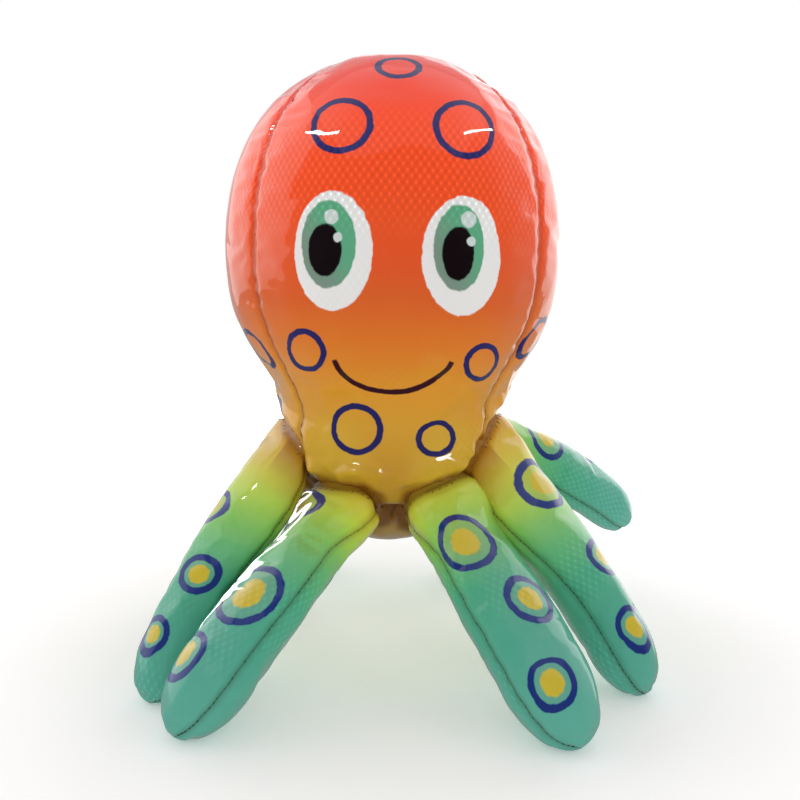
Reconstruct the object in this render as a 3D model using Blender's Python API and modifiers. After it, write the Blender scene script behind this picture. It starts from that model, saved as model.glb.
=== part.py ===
"""Plush octopus with a glossy printed cover, standing on its arms.

The head is sewn from three gores that run from the crown down to a hem under the arms, where a
round belly panel closes it. Each of the eight arms is a tube of two panels, one above and one below,
joined by a seam along each side and sewn to the body at its root. Head and arms hold loose fibre.
The face looks along -Y, the floor is Z = 0, and azimuths run from -Y towards +X.
"""

import math
from collections import namedtuple

import bmesh
import bpy
from mathutils import Matrix, Vector

MM = 0.001

# Body, from the floor up. The head widens from the neck and closes in a full dome.
BELLY_CLEARANCE = 29 * MM
BELLY_DEPTH = 33 * MM
TAPER_HEIGHT = 46 * MM
DOME_HEIGHT = 48 * MM
HEAD_RADIUS = 42.4 * MM
NECK_RADIUS = 28 * MM
DOME_POWER = 2.2
BELLY_POWER = 2.0
TAPER_EASE = 1.5
HEM_SHARE = 0.57  # of the belly's depth, down from the neck
CROWN_HOLE = 0.8 * MM  # radius of the gathered point where the gores meet
GORE_SWELL = 1.0 * MM  # how far a gore's middle stands out past its seams

# Cloth, seams and running gaps.
CLOTH = 1.2 * MM
ARM_CLOTH = 1.0 * MM
FILL_GAP = 0.3 * MM
SEAM_GAP = 0.3 * MM
GORE_SPREAD = 0.35 * MM  # each gore stands off the axis by this, which opens its seams
SEAT_GAP = 0.35 * MM  # past the gores, where an arm sits on the body
FOOT_FLAT = 0.5 * MM  # how deep a resting arm tip is pressed flat

# A front arm's tube: at its root, at its fullest, and how long its rounded end is.
ARM_LENGTH = 67 * MM
ARM_ROOT_WIDTH = 18.5 * MM
ARM_ROOT_HEIGHT = 15.5 * MM
ARM_SWELL_WIDTH = 21 * MM
ARM_SWELL_HEIGHT = 18 * MM
ARM_END = 16 * MM
SWELL_SHARE = 0.6  # of the arm's length, where the tube is fullest
RAISED_TIP = 23 * MM  # height of the one arm that doesn't reach the floor
LOWERED = 5  # degrees that an arm can press down from rest

# Where each arm is sewn on and where it heads, in degrees round the body. The fold on top of its
# root lies a share of the belly's depth below the neck. Arch is how many degrees the arm bends down
# along its length, and roll how many its seams turn about it. The last shares are of a front arm's
# length and thickness.
Arm = namedtuple("Arm", "name root heading fold_share arch roll length_share girth_share stands")
ARMS = (
    Arm("front_left", -32, -39, 0.45, 14, 24, 0.99, 0.98, True),
    Arm("front_right", 35.5, 33, 0.41, 14, -6, 0.99, 1.0, True),
    Arm("side_left", -76, -37, 0.0, 20, 0, 1.13, 0.74, True),
    Arm("side_right", 75, 53, 0.0, 16, -14, 1.12, 0.88, True),
    Arm("rear_side_left", -116, -107, 0.10, 18, 0, 1.01, 0.77, True),
    Arm("rear_side_right", 112, 118, 0.0, 26, 14, 0.99, 0.78, False),
    Arm("rear_left", -156, -150, 0.28, 18, 0, 1.01, 0.77, True),
    Arm("rear_right", 155, 149, 0.28, 18, 0, 1.01, 0.77, True),
)

# Azimuths of the head's three seams, in order round the body.
SEAMS = (-51, 56, 183)

# Facets.
DOME_STEPS = 8
TAPER_STEPS = 6
BELLY_STEPS = 6
GORE_STEPS = 8
FULL_TURN_STEPS = 24
SEAT_STEPS = 48
TRUNK_RINGS = 6
END_RINGS = 4
HALF_SIDES = 6
FILL_SIDES = 8
WELD = 0.001 * MM  # points this close are one
NUDGE_SHARE = 0.0001  # of one stretch of the outline, either side of a point to find its slope

UP = Vector((0, 0, 1))
NECK_Z = BELLY_CLEARANCE + BELLY_DEPTH
WIDEST_Z = NECK_Z + TAPER_HEIGHT


def direction(azimuth):
    """Unit vector that points outwards at this azimuth."""
    turn = math.radians(azimuth)
    return Vector((math.sin(turn), -math.cos(turn), 0))


def smooth_step(share):
    share = min(max(share, 0), 1)
    return share * share * (3 - 2 * share)


# The scene


def clear_scene():
    for old in list(bpy.data.objects):
        bpy.data.objects.remove(old)


def collection(name):
    made = bpy.data.collections.new(name)
    bpy.context.scene.collection.children.link(made)
    return made


def material(name, colour, roughness, coat):
    made = bpy.data.materials.new(name)
    made.use_nodes = True
    made.diffuse_color = (*colour, 1)
    shader = made.node_tree.nodes["Principled BSDF"]
    shader.inputs["Base Color"].default_value = (*colour, 1)
    shader.inputs["Roughness"].default_value = roughness
    shader.inputs["Metallic"].default_value = 0
    shader.inputs["Coat Weight"].default_value = coat
    return made


def piece(name, mesh, finish, frame):
    """A named part that belongs to the toy, shaded smooth."""
    made = bpy.data.objects.new(name, mesh)
    mesh.materials.append(finish)
    mesh.shade_smooth()
    toy.objects.link(made)
    made.parent = frame
    return made


def cutter(name, mesh, frame):
    made = bpy.data.objects.new(name, mesh)
    cutters.objects.link(made)
    made.parent = frame
    made.hide_render = True
    made.display_type = "WIRE"
    return made


def cut(target, tool):
    difference = target.modifiers.new(tool.name, "BOOLEAN")
    difference.operation = "DIFFERENCE"
    difference.object = tool


# Body outline


def outline_point(share):
    """(radius, height) on the outline: share 0 is the crown, 1 the widest part, 2 the neck, 3 the belly."""
    if share <= 1:
        climb = math.sin((1 - share) * math.pi / 2)
        radius = HEAD_RADIUS * (1 - climb**DOME_POWER) ** (1 / DOME_POWER)
        return radius, WIDEST_Z + DOME_HEIGHT * climb
    if share <= 2:
        down = share - 1
        blend = (1 + math.cos(math.pi * down**TAPER_EASE)) / 2
        return NECK_RADIUS + (HEAD_RADIUS - NECK_RADIUS) * blend, WIDEST_Z - TAPER_HEIGHT * down
    down = math.sin((share - 2) * math.pi / 2)
    radius = NECK_RADIUS * (1 - down**BELLY_POWER) ** (1 / BELLY_POWER)
    return radius, NECK_Z - BELLY_DEPTH * down


def outline(inset, first=0.0, last=3.0):
    """The body's outline from top to bottom, moved in by inset along its own normal."""
    steps = [i / DOME_STEPS for i in range(DOME_STEPS)]
    steps += [1 + i / TAPER_STEPS for i in range(TAPER_STEPS)]
    steps += [2 + i / BELLY_STEPS for i in range(BELLY_STEPS + 1)]
    shares = [first] + [s for s in steps if first < s < last] + [last]
    points = []
    for share in shares:
        radius, height = outline_point(share)
        if share in (0.0, 3.0):
            points.append((0.0, height - inset if share == 0 else height + inset))
            continue
        before, after = outline_point(share - NUDGE_SHARE), outline_point(share + NUDGE_SHARE)
        along = Vector((after[0] - before[0], after[1] - before[1])).normalized()
        points.append((max(radius + along.y * inset, WELD), height - along.x * inset))
    return points


def halved(low, high, too_low):
    """The value between low and high where too_low turns false, found by halving."""
    for _ in range(40):
        middle = (low + high) / 2
        if too_low(middle):
            low = middle
        else:
            high = middle
    return (low + high) / 2


def share_at_height(height):
    """The outline's share at this height on the belly."""
    return halved(2, 3, lambda share: outline_point(share)[1] > height)


def turned(name, profile, first_azimuth, span, steps):
    """The mesh of an outline turned about the body's axis, from one azimuth over a span in degrees."""
    start = direction(first_azimuth)
    mesh = bpy.data.meshes.new(name)
    points = [start * radius + UP * height for radius, height in profile]
    mesh.from_pydata(points, [(i, i + 1) for i in range(len(points) - 1)], [])
    helper = bpy.data.objects.new(name, mesh)
    bpy.context.scene.collection.objects.link(helper)
    screw = helper.modifiers.new("turn", "SCREW")
    screw.angle = math.radians(span)
    screw.steps = screw.render_steps = steps
    screw.use_merge_vertices = True
    screw.merge_threshold = WELD
    graph = bpy.context.evaluated_depsgraph_get()
    made = bpy.data.meshes.new_from_object(helper.evaluated_get(graph))
    made.name = name
    bpy.data.objects.remove(helper)
    return made


# Head, belly and their filling


def gore(name, first_seam, last_seam, finish, frame):
    """One panel of the head, from the crown to the hem, between two seams."""
    crown = halved(0, 1, lambda share: outline_point(share)[0] < CROWN_HOLE)
    hem = share_at_height(NECK_Z - BELLY_DEPTH * HEM_SHARE)
    span = (last_seam - first_seam) % 360
    mesh = turned(name, outline(0, crown, hem), first_seam, span, GORE_STEPS)
    middle = direction(first_seam + span / 2)
    half = math.radians(span / 2)
    shaped = bmesh.new()
    shaped.from_mesh(mesh)
    bmesh.ops.recalc_face_normals(shaped, faces=shaped.faces)
    for v in shaped.verts:
        flat = Vector((v.co.x, v.co.y, 0))
        across = middle.angle(flat, 0) / half
        above_neck = smooth_step((v.co.z - NECK_Z) / TAPER_HEIGHT)
        v.co += flat.normalized() * GORE_SWELL * (1 - across**2) * above_neck
    shaped.normal_update()
    shaped.to_mesh(mesh)
    shaped.free()
    made = piece(name, mesh, finish, frame)
    made.location = middle * GORE_SPREAD
    cloth = made.modifiers.new("cloth", "SOLIDIFY")
    cloth.thickness = CLOTH
    cloth.offset = -1
    return made


def belly_panel(name, finish, frame):
    hem_z = NECK_Z - BELLY_DEPTH * HEM_SHARE - SEAM_GAP - CLOTH / 2
    hem = share_at_height(hem_z)
    mesh = turned(name, outline(0, hem, 3.0), 0, 360, FULL_TURN_STEPS)
    made = piece(name, mesh, finish, frame)
    cloth = made.modifiers.new("cloth", "SOLIDIFY")
    cloth.thickness = CLOTH
    cloth.offset = -1
    return made


def body_filling(name, finish, frame):
    mesh = turned(name, outline(CLOTH + FILL_GAP), 0, 360, FULL_TURN_STEPS)
    return piece(name, mesh, finish, frame)


# Arms


class Tube:
    """An arm's outer surface. Its spine bends in one upright plane, from the fold on top of its root."""

    def __init__(self, arm):
        self.arm = arm
        self.length = ARM_LENGTH * arm.length_share
        self.root_height = ARM_ROOT_HEIGHT * arm.girth_share
        self.ahead = direction(arm.heading)
        self.aside = self.ahead.cross(UP)
        height = NECK_Z - BELLY_DEPTH * arm.fold_share
        radius = outline_point(share_at_height(height))[0]
        self.fold = direction(arm.root) * (radius + GORE_SPREAD + SEAT_GAP) + UP * height
        self.pitch = self.pitch_for(-FOOT_FLAT if arm.stands else RAISED_TIP)

    def pitch_for(self, height):
        """Degrees below level at the root that bring the arm's lowest point to this height."""

        def too_high(pitch):
            self.pitch = pitch
            turns = [math.pi * i / HALF_SIDES for i in range(2 * HALF_SIDES)]
            return min(self.point(*ring, turn).z for ring in self.rings(0) for turn in turns) > height

        return halved(0, 90, too_high)

    def rings(self, inset):
        """(distance along the spine, half width, half height) of each section, from root to end."""
        girth = self.arm.girth_share
        end = ARM_END * girth
        trunk = self.length - end
        made = []
        for i in range(TRUNK_RINGS):
            made.append((trunk * i / TRUNK_RINGS, 1.0))
        for i in range(END_RINGS + 1):
            turn = math.pi / 2 * i / END_RINGS
            made.append((trunk + (end - inset) * math.sin(turn), math.cos(turn)))
        sections = []
        for s, scale in made:
            swell = smooth_step(s / (self.length * SWELL_SHARE))
            width = girth * (ARM_ROOT_WIDTH + (ARM_SWELL_WIDTH - ARM_ROOT_WIDTH) * swell)
            height = girth * (ARM_ROOT_HEIGHT + (ARM_SWELL_HEIGHT - ARM_ROOT_HEIGHT) * swell)
            sections.append((s, (width / 2 - inset) * scale, (height / 2 - inset) * scale))
        return sections

    def point(self, s, half_width, half_height, turn, lift=0.0):
        """A point at distance s along the spine, at an angle round the section from its left seam."""
        start = math.radians(self.pitch)
        bend = math.radians(self.arm.arch) / self.length
        here = start + bend * s
        centre = self.fold - self.above(start) * (self.root_height / 2)
        centre += self.ahead * ((math.sin(here) - math.sin(start)) / bend)
        centre += UP * ((math.cos(here) - math.cos(start)) / bend)
        roll = math.radians(self.arm.roll)
        side = self.aside * math.cos(roll) - self.above(here) * math.sin(roll)
        crest = self.above(here) * math.cos(roll) + self.aside * math.sin(roll)
        return centre + side * (half_width * math.cos(turn)) + crest * (half_height * math.sin(turn) + lift)

    def above(self, pitch):
        """Square to the spine, away from the floor."""
        return self.ahead * math.sin(pitch) + UP * math.cos(pitch)


def loft(name, rings):
    """A closed mesh over rings of as many points each. A ring that is a point closes its end."""
    shape = bmesh.new()
    rows = [[shape.verts.new(p) for p in ring] for ring in rings]
    count = len(rows[0])
    for row, following in zip(rows, rows[1:]):
        for i in range(count):
            j = (i + 1) % count
            shape.faces.new((row[i], row[j], following[j], following[i]))
    shape.faces.new(rows[0])
    bmesh.ops.remove_doubles(shape, verts=shape.verts, dist=WELD)
    bmesh.ops.recalc_face_normals(shape, faces=shape.faces)
    mesh = bpy.data.meshes.new(name)
    shape.to_mesh(mesh)
    shape.free()
    return mesh


def arm_panel(tube, name, first_turn, lift, finish, frame):
    """Half of the arm's cover, between its two side seams, as thick as the cloth."""
    turns = [first_turn + math.pi * i / HALF_SIDES for i in range(HALF_SIDES + 1)]
    loops = []
    for outer, inner in zip(tube.rings(0), tube.rings(ARM_CLOTH)):
        loop = [tube.point(*outer, turn, lift) for turn in turns]
        loop += [tube.point(*inner, turn, lift) for turn in reversed(turns)]
        loops.append(loop)
    return piece(name, loft(name, loops), finish, frame)


def arm_filling(tube, name, finish, frame):
    turns = [2 * math.pi * i / FILL_SIDES for i in range(FILL_SIDES)]
    inset = ARM_CLOTH + FILL_GAP
    loops = [[tube.point(*ring, turn) for turn in turns] for ring in tube.rings(inset)]
    return piece(name, loft(name, loops), finish, frame)


def build_arm(arm, seat, floor, frame):
    """The arm's three pieces, trimmed where they meet the body and the floor."""
    tube = Tube(arm)
    hinge = bpy.data.objects.new("hinge_" + arm.name, None)
    toy.objects.link(hinge)
    hinge.parent = frame
    hinge.location = tube.fold
    hinge.matrix_parent_inverse = Matrix.Identity(4)
    axis = tube.ahead.cross(UP)
    pressed = cutter("pressed_" + arm.name, seat.data, frame)
    turn = Matrix.Rotation(math.radians(LOWERED), 4, axis)
    pressed.matrix_local = Matrix.Translation(tube.fold) @ turn @ Matrix.Translation(-tube.fold)
    upper = arm_panel(tube, f"arm_{arm.name}_upper", 0, SEAM_GAP / 2, arm_print, frame)
    under = arm_panel(tube, f"arm_{arm.name}_under", math.pi, -SEAM_GAP / 2, arm_print, frame)
    fill = arm_filling(tube, f"arm_{arm.name}_filling", fibre, frame)
    for made in (upper, under, fill):
        made.data.transform(Matrix.Translation(-tube.fold))
        made.parent = hinge
        cut(made, seat)
        cut(made, pressed)
    if arm.stands:
        cut(upper, floor)
        cut(under, floor)
    return hinge, axis


def floor_block():
    """A block under the floor that presses the resting tips flat."""
    made = bmesh.new()
    bmesh.ops.create_cube(made, size=1)
    span = 4 * (HEAD_RADIUS + ARM_LENGTH)
    depth = ARM_LENGTH
    bmesh.ops.scale(made, vec=(span, span, depth), verts=made.verts)
    bmesh.ops.translate(made, vec=(0, 0, -depth / 2), verts=made.verts)
    mesh = bpy.data.meshes.new("floor_block")
    made.to_mesh(mesh)
    made.free()
    return mesh


def centre_on_base(frame):
    """Moves the toy so that the middle of its bounding box stands over the origin."""
    bpy.context.view_layer.update()
    graph = bpy.context.evaluated_depsgraph_get()
    corners = []
    for made in toy.objects:
        if made.type == "MESH":
            shown = made.evaluated_get(graph)
            mesh = shown.to_mesh()
            corners += [shown.matrix_world @ v.co for v in mesh.vertices]
            shown.to_mesh_clear()
    for axis in (0, 1):
        values = [c[axis] for c in corners]
        frame.location[axis] -= (min(values) + max(values)) / 2
    bpy.context.view_layer.update()


clear_scene()
toy = collection("plush_octopus")
cutters = collection("cutters")
octopus = bpy.data.objects.new("octopus", None)
toy.objects.link(octopus)

head_print = material("head_print", (0.87, 0.13, 0.03), 0.45, 1.0)
belly_print = material("belly_print", (0.62, 0.33, 0.03), 0.45, 1.0)
arm_print = material("arm_print", (0.10, 0.42, 0.30), 0.45, 1.0)
fibre = material("fibre", (0.85, 0.85, 0.83), 0.9, 0.0)

gore("head_front_panel", SEAMS[0], SEAMS[1], head_print, octopus)
gore("head_right_panel", SEAMS[1], SEAMS[2], head_print, octopus)
gore("head_left_panel", SEAMS[2], SEAMS[0], head_print, octopus)
belly_panel("belly_panel", belly_print, octopus)
body_filling("body_filling", fibre, octopus)

seat_shape = turned("seat", outline(-(GORE_SPREAD + SEAT_GAP)), 0, 360, SEAT_STEPS)
seat_cutter = cutter("seat", seat_shape, octopus)
floor_cutter = cutter("floor", floor_block(), octopus)
hinges = [build_arm(arm, seat_cutter, floor_cutter, octopus) for arm in ARMS]
centre_on_base(octopus)

for made, axis in hinges:
    place = [round(v, 6) for v in made.matrix_world.translation]
    print(made.name, "at", place, "axis", [round(v, 6) for v in axis])
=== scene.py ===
"""Plush octopus with a glossy printed cover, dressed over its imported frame.

The head and the eight arms are covers of printed woven cloth under a clear film, packed with fibre.
The face looks along -Y, the floor is Z = 0, and azimuths run from -Y towards +X.
"""

import math

import bmesh
import bpy
import numpy as np
from mathutils import Matrix, Vector, noise


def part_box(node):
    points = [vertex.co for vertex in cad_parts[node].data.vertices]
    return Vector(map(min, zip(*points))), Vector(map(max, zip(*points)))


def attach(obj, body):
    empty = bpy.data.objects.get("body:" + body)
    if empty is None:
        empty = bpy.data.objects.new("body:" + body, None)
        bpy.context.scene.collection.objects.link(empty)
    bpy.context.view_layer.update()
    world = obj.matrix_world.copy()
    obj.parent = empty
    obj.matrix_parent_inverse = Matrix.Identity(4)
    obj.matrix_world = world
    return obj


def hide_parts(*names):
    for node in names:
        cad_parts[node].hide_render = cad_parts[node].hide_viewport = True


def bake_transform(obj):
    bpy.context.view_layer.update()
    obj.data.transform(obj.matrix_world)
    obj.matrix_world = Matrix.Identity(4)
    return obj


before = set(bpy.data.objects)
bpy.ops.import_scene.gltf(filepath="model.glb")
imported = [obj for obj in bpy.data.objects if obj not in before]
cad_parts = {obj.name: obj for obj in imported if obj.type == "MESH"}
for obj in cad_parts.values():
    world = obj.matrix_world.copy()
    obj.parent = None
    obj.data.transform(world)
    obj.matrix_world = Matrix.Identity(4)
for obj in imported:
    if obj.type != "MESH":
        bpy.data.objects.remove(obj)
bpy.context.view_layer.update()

# Camera. The photograph was taken from a little above the eyes, close to the toy, so the head looms
# over the arms. The head leans a little to the left in it, which is the camera's own roll.
MM = 0.001
low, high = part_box("body_filling")
HEAD_AXIS = Vector(((low[0] + high[0]) / 2, (low[1] + high[1]) / 2, 0))
CAMERA_DISTANCE = 232 * MM
CAMERA_HEIGHT = 94.3 * MM
CAMERA_PITCH = math.radians(6.7)
CAMERA_ROLL = math.radians(1.0)
CAMERA_LENS = 38.475
CAMERA_SENSOR = 36
CAMERA_SHIFT = 0.0119

ahead = Vector((0, math.cos(CAMERA_PITCH), -math.sin(CAMERA_PITCH)))
level = Vector((1, 0, 0))
over = level.cross(ahead)
right = level * math.cos(CAMERA_ROLL) + over * math.sin(CAMERA_ROLL)
over = over * math.cos(CAMERA_ROLL) - level * math.sin(CAMERA_ROLL)
bpy.ops.object.camera_add()
camera = bpy.context.object
camera.data.lens = CAMERA_LENS
camera.data.sensor_width = CAMERA_SENSOR
camera.data.shift_x = CAMERA_SHIFT
camera.data.clip_start = 0.01
camera.location = HEAD_AXIS + Vector((0, -CAMERA_DISTANCE, CAMERA_HEIGHT))
camera.rotation_mode = "QUATERNION"
camera.rotation_quaternion = Matrix((right, over, -ahead)).transposed().to_quaternion()
bpy.context.scene.camera = camera


# Head cover. Three gores of printed cloth, sewn edge to edge from the crown down to a hem under the
# arms and turned right side out, so that their seams sink between them. Fibre packs it hard.
UP = Vector((0, 0, 1))
NECK_Z = 62 * MM
WIDEST_Z = 108 * MM
TAPER_HEIGHT = WIDEST_Z - NECK_Z
DOME_HEIGHT = 48 * MM
BELLY_DEPTH = 33 * MM
HEAD_RADIUS = 42.4 * MM
NECK_RADIUS = 28 * MM
DOME_POWER = 2.2
BELLY_POWER = 2.0
TAPER_EASE = 1.5
HEM_SHARE = 0.57  # of the belly's depth, down from the neck
GORE_STANDOFF = 0.35 * MM
GORE_SWELL = 1.0 * MM
HEAD_SEAMS = (-51, 56, 183)  # azimuths
GORES = tuple(zip(HEAD_SEAMS, (*HEAD_SEAMS[1:], HEAD_SEAMS[0] + 360)))  # front, right and left
GORE_COLUMNS = (42, 50, 50)  # of faces
GORE_RINGS = 140
SEAM_CROWDING = 0.5  # how much closer the columns lie at a seam
SEAM_DEPTH = 0.75 * MM
SEAM_WIDTH = 1.1 * MM
SEAM_SPAN = 45  # degrees, past which a seam pulls nothing
PUCKER_DEPTH = 0.16 * MM
PUCKER_PITCH = 4.6 * MM
PUCKER_REACH = 3.2 * MM
PUCKER_DRIFT = 0.9  # of a pitch, which is how uneven the thread gathers
FRONT_DROP = 2.2 * MM  # how much lower the hem's point between the front arms comes
FRONT_POINT = 2  # azimuth
FRONT_POINT_WIDTH = 13  # degrees
FRONT_POINT_HEIGHT = 9 * MM
HEM_DEPTH = 0.7 * MM
HEM_WIDTH = 1.2 * MM
HEM_EASE = 4 * MM  # over which a seam ends above the hem
CROWN_EASE = 6 * MM
SEAM_START = 8 * MM  # from the crown
BELLY_INSET = 0.7 * MM  # the belly panel lies in behind the gores' hem
# Folds gathered into the belly panel at the hem, each from and to (azimuth, millimetres below the hem).
BELLY_FOLDS = (
    ((1, 2), (-10, 12)), ((4, 2), (17, 9)), ((44, 0), (52, 9)), ((-46, 0), (-40, 8)), ((96, 0), (90, 10)),
    ((-96, 0), (-104, 9)), ((135, 0), (142, 8)), ((180, 0), (172, 10)), ((-150, 0), (-141, 9)),
)
FOLD_DEPTH = 3.2 * MM
FOLD_WIDTH = 1.3 * MM


def smooth_step(share):
    share = min(max(share, 0), 1)
    return share * share * (3 - 2 * share)


def direction(azimuth):
    turn = math.radians(azimuth)
    return Vector((math.sin(turn), -math.cos(turn), 0))


def outline_point(share):
    """(radius, height) on the body's outline, from the crown at share 0 over 1, the widest part, and 2, the
    neck, to 3 at the bottom."""
    if share <= 1:
        climb = math.sin((1 - share) * math.pi / 2)
        return HEAD_RADIUS * (1 - climb**DOME_POWER) ** (1 / DOME_POWER), WIDEST_Z + DOME_HEIGHT * climb
    if share <= 2:
        down = share - 1
        blend = (1 + math.cos(math.pi * down**TAPER_EASE)) / 2
        return NECK_RADIUS + (HEAD_RADIUS - NECK_RADIUS) * blend, WIDEST_Z - TAPER_HEIGHT * down
    down = math.sin((share - 2) * math.pi / 2)
    return NECK_RADIUS * max(0, 1 - down**BELLY_POWER) ** (1 / BELLY_POWER), NECK_Z - BELLY_DEPTH * down


outline = np.array([outline_point(share) for share in np.linspace(0, 3, 3001)])
outline_arc = np.concatenate([[0], np.cumsum(np.hypot(*np.diff(outline, axis=0).T))])
OUTLINE_LENGTH = outline_arc[-1]
HEM_ARC = float(np.interp(-(NECK_Z - BELLY_DEPTH * HEM_SHARE), -outline[:, 1], outline_arc))


def outline_at(arc):
    """(radius, height) at a distance down the outline from the crown."""
    return tuple(float(np.interp(arc, outline_arc, outline[:, i])) for i in (0, 1))


def gore_at(azimuth):
    """(gore, azimuth of its middle, half its span) for an azimuth counted on from the first seam."""
    turned = (azimuth - HEAD_SEAMS[0]) % 360
    for gore, (start, end) in enumerate(GORES):
        if turned <= end - HEAD_SEAMS[0]:
            return gore, (start + end) / 2, (end - start) / 2


def body_point(azimuth, arc, swell=1.0):
    """A point of the body's cover before its seams are drawn in."""
    radius, height = outline_at(arc)
    gore, middle, half = gore_at(azimuth)
    across = ((azimuth - middle + 180) % 360 - 180) / half
    bulge = GORE_SWELL * swell * (1 - across**2) * smooth_step((height - NECK_Z) / TAPER_HEIGHT)
    return direction(azimuth) * (radius + GORE_STANDOFF + bulge) + UP * height


def seam_pull(distance, along, seed):
    """How far a seam draws the cloth in at a distance from it, with the small puckers its thread gathers."""
    groove = SEAM_DEPTH * math.exp(-((distance / SEAM_WIDTH) ** 2))
    beat = along / PUCKER_PITCH + PUCKER_DRIFT * noise.noise(Vector((along / (9 * MM), seed, 0)))
    pucker = PUCKER_DEPTH * math.cos(2 * math.pi * beat) * math.exp(-distance / PUCKER_REACH)
    return groove + pucker


CRINKLE_PATCH = 21 * MM
RIPPLE = 6 * MM
FINE_RIPPLE = 2.8 * MM


def crinkle(obj, depth):
    """The film's own small flats and ripples, which break up what its gloss shows. They come in patches."""
    obj.data.update()
    outward = [vertex.normal.copy() for vertex in obj.data.vertices]
    for vertex, normal in zip(obj.data.vertices, outward):
        patch = smooth_step((noise.noise(vertex.co / CRINKLE_PATCH) + 0.2) / 0.5)
        wave = noise.noise(vertex.co / RIPPLE) + 0.5 * noise.noise(vertex.co / FINE_RIPPLE)
        vertex.co += normal * (depth * wave * (0.3 + patch))


def deselect_all():
    for obj in bpy.context.selected_objects:
        obj.select_set(False)


def ball(name, around, along):
    """A new sphere, and the column and the ring of each of its vertices. Its faces are put in order, because
    Blender lists them in another one each run, and the packing would then crease the cloth otherwise."""
    deselect_all()
    bpy.ops.mesh.primitive_uv_sphere_add(segments=around, ring_count=along, radius=1)
    made = bpy.context.object
    made.name = made.data.name = name
    points = [vertex.co.copy() for vertex in made.data.vertices]
    faces = []
    for face in made.data.polygons:
        corners = tuple(face.vertices)
        first = corners.index(min(corners))
        faces.append(corners[first:] + corners[:first])
    made.data.clear_geometry()
    made.data.from_pydata(points, [], sorted(faces))
    places = []
    for vertex in made.data.vertices:
        ring = round(math.acos(min(max(vertex.co.z, -1), 1)) / math.pi * along)
        column = round(math.atan2(vertex.co.x, -vertex.co.y) / (2 * math.pi) * around) % around
        places.append((column, ring))
    return made, places


gore_azimuths = []
for (start, end), columns in zip(GORES, GORE_COLUMNS):
    for i in range(columns):
        share = i / columns
        share -= SEAM_CROWDING * math.sin(2 * math.pi * share) / (2 * math.pi)
        gore_azimuths.append(start + (end - start) * share)

head, head_places = ball("head_cover", sum(GORE_COLUMNS), GORE_RINGS)
folds = [[body_point(azimuth, HEM_ARC + down * MM) for azimuth, down in fold] for fold in BELLY_FOLDS]
head_sewn = []  # how far each vertex lies from the nearest seam or fold


def from_line(point, start, end):
    """(distance from a line's nearest point, how far along it that point lies as a share)."""
    along = min(max((point - start).dot(end - start) / (end - start).length_squared, 0), 1)
    return (point - start.lerp(end, along)).length, along


def shape_head():
    for vertex, (column, ring) in zip(head.data.vertices, head_places):
        azimuth = gore_azimuths[column]
        arc = OUTLINE_LENGTH * ring / GORE_RINGS
        aside = (azimuth + (180 - FRONT_POINT)) % 360 - 180
        aside, below_hem = aside / FRONT_POINT_WIDTH, (arc - HEM_ARC) / FRONT_POINT_HEIGHT
        drop = FRONT_DROP * math.exp(-(aside ** 2) - below_hem ** 2)
        point = body_point(azimuth, arc + drop)
        radius = outline_at(arc)[0]
        for seed, seam in enumerate(HEAD_SEAMS):
            apart = abs((azimuth - seam + 180) % 360 - 180)
            if apart < SEAM_SPAN:
                fade = smooth_step((HEM_ARC - arc) / HEM_EASE) * smooth_step(arc / CROWN_EASE)
                point -= direction(azimuth) * seam_pull(math.radians(apart) * radius, arc, seed) * fade
        off_seam = min(math.radians(abs((azimuth - seam + 180) % 360 - 180)) * radius for seam in HEAD_SEAMS)
        past = arc - HEM_ARC
        off_seam += max(past, 0) + max(SEAM_START - arc, 0)
        inward = (UP * NECK_Z - point).normalized()
        gather = 0.8 + 0.3 * math.cos(azimuth * 0.9)
        pull = HEM_DEPTH * math.exp(-((past / HEM_WIDTH) ** 2)) * gather
        pull += BELLY_INSET * smooth_step(past / (1.5 * MM)) * (1 - smooth_step((past - 3 * MM) / (12 * MM)))
        for fold in folds:
            apart, along = from_line(point, *fold)
            pull += FOLD_DEPTH * math.exp(-((apart / FOLD_WIDTH) ** 2)) * (1 - along * 0.5)
            off_seam = min(off_seam, apart + along * MM)
        head_sewn.append(min(off_seam, abs(past)))
        vertex.co = point + inward * pull + HEAD_AXIS


PRESSURE = 4  # of the packing
BLOW_FRAMES = 20


def puff(obj, held, slack, reach):
    """Blows a cover out as its packing does. The held vertices are sewn fast, slack is how much longer the
    cloth is than its seams, and no point moves further than reach."""
    before = [v.co.copy() for v in obj.data.vertices]
    group = obj.vertex_groups.new(name="held")
    group.add(held, 1.0, "REPLACE")
    blown = obj.modifiers.new("blown", "CLOTH")
    blown.settings.quality = 4
    blown.settings.mass = 0.3
    blown.settings.tension_stiffness = blown.settings.compression_stiffness = 15
    blown.settings.shear_stiffness = 8
    blown.settings.bending_stiffness = 0.05
    blown.settings.use_pressure = True
    blown.settings.uniform_pressure_force = PRESSURE
    blown.settings.vertex_group_mass = group.name
    blown.settings.shrink_min = -slack
    blown.settings.effector_weights.gravity = 0
    blown.collision_settings.use_collision = False
    blown.point_cache.frame_start, blown.point_cache.frame_end = 1, BLOW_FRAMES
    for moment in range(1, BLOW_FRAMES + 1):
        bpy.context.scene.frame_set(moment)
    deselect_all()
    bpy.context.view_layer.objects.active = obj
    obj.select_set(True)
    bpy.ops.object.modifier_apply(modifier=blown.name)
    bpy.context.scene.frame_set(1)
    obj.vertex_groups.clear()
    for vertex, start in zip(obj.data.vertices, before):
        moved = vertex.co - start
        if moved.length > reach:
            vertex.co = start + moved * (reach / moved.length)


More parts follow.
